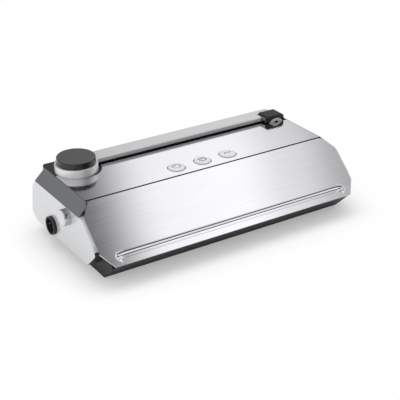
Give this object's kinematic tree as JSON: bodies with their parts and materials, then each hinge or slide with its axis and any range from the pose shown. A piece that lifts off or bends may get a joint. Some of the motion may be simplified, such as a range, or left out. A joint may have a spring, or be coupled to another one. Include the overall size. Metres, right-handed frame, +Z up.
{
  "type": "vacuum sealer",
  "caption": "Countertop bag vacuum sealer with a hinged sloping steel lid over an inclined sealing deck, a long locking lever with a round knob, push buttons and silver end caps.",
  "frame": {"origin": "under the middle of all that the object reaches, at the height of the surface it stands on (undersides of the feet)", "axes": "+X along the length, towards the lever's pivot; +Y towards the rear wall; +Z up"},
  "size_m": [0.409, 0.203, 0.11],
  "materials": {
    "black_plastic": "satin moulded",
    "silver_plastic": "satin silver paint",
    "dark_trim": "satin",
    "brushed_steel": "brushed along the length",
    "plain_steel": "plain",
    "disc_steel": "turned",
    "bar_aluminium": "brushed",
    "cap_dark": "satin, dark anodised",
    "button_plastic": "satin",
    "rubber_black": "matt",
    "gasket_foam": "matt foam",
    "silicone_red": "matt",
    "heater_metal": "plain",
    "ptfe": "satin woven",
    "seal_base": "matt",
    "tray_grey": "satin",
    "board_green": "satin",
    "part_dark": "matt",
    "copper": "enamelled wire",
    "brass_metal": "plain",
    "hose_clear": "satin"
  },
  "bodies": {
    "base": {"base_tray": "black_plastic", "feet": "rubber_black", "base_screws": "plain_steel", "upper_housing": "black_plastic", "top_plate": "brushed_steel", "working_deck": "black_plastic", "end_cap_left": "silver_plastic", "end_cap_right": "silver_plastic", "chamfer_trim_left": "dark_trim", "chamfer_trim_right": "dark_trim", "sealing_bar": "seal_base", "heating_strip": "heater_metal", "ptfe_tape": "ptfe", "drip_tray": "tray_grey", "suction_nozzle": "tray_grey", "lower_gasket": "gasket_foam", "hinge_brackets": "brushed_steel", "hinge_pins": "plain_steel", "pivot_bracket": "plain_steel", "pivot_pin": "plain_steel", "latch_clip": "plain_steel", "spring_power": "plain_steel", "spring_vacuum": "plain_steel", "spring_seal": "plain_steel", "control_board": "board_green", "board_parts": "part_dark", "tact_switches": "part_dark", "transformer_core": "part_dark", "transformer_coil": "copper", "pump_bracket": "plain_steel", "pump_motor": "plain_steel", "pump_head": "black_plastic", "channel_hose": "hose_clear", "port_hose": "hose_clear", "mains_inlet": "black_plastic", "inlet_pins": "brass_metal", "vacuum_port": "tray_grey"},
    "lid": {"lid_skin": "brushed_steel", "lid_frame": "black_plastic", "upper_gasket": "gasket_foam", "pressure_strip": "silicone_red", "lid_screws": "plain_steel"},
    "lever": {"lever_bar": "bar_aluminium", "lever_core": "plain_steel", "lever_block": "black_plastic", "pivot_disc": "disc_steel", "knob_ring": "bar_aluminium", "knob_cap": "cap_dark", "knob_screws": "plain_steel", "latch_stud": "plain_steel"},
    "button_power": {"button_power": "button_plastic"},
    "button_vacuum": {"button_vacuum": "button_plastic"},
    "button_seal": {"button_seal": "button_plastic"},
    "pump_rotor": {"pump_shaft": "plain_steel", "pump_eccentric": "brass_metal"},
    "port_plug": {"port_plug": "silver_plastic"}
  },
  "joints": [
    {"name": "lid_hinge", "type": "hinge", "parent": "base", "child": "lid", "pos_m": [0.0045, -0.03174, 0.0865], "axis": [-1, 0, 0], "range_deg": [0, 50]},
    {"name": "lever_pivot", "type": "hinge", "parent": "base", "child": "lever", "pos_m": [0.17, 0.06075, 0.0885], "axis": [0, 1, 0], "range_deg": [0, 65]},
    {"name": "push_power", "type": "slide", "parent": "base", "child": "button_power", "axis": [0, 0, -1], "range_m": [0, 0.001], "stiffness_N_per_m": 400, "springref_m": -0.002, "deforming": ["spring_power"]},
    {"name": "push_vacuum", "type": "slide", "parent": "base", "child": "button_vacuum", "axis": [0, 0, -1], "range_m": [0, 0.001], "stiffness_N_per_m": 400, "springref_m": -0.002, "deforming": ["spring_vacuum"]},
    {"name": "push_seal", "type": "slide", "parent": "base", "child": "button_seal", "axis": [0, 0, -1], "range_m": [0, 0.001], "stiffness_N_per_m": 400, "springref_m": -0.002, "deforming": ["spring_seal"]},
    {"name": "pump_spin", "type": "hinge", "parent": "base", "child": "pump_rotor", "pos_m": [0.0585, 0.058, 0.028], "axis": [1, 0, 0], "continuous": true},
    {"name": "plug_pull", "type": "slide", "parent": "base", "child": "port_plug", "axis": [-1, 0, 0], "range_m": [0, 0.012]}
  ]
}
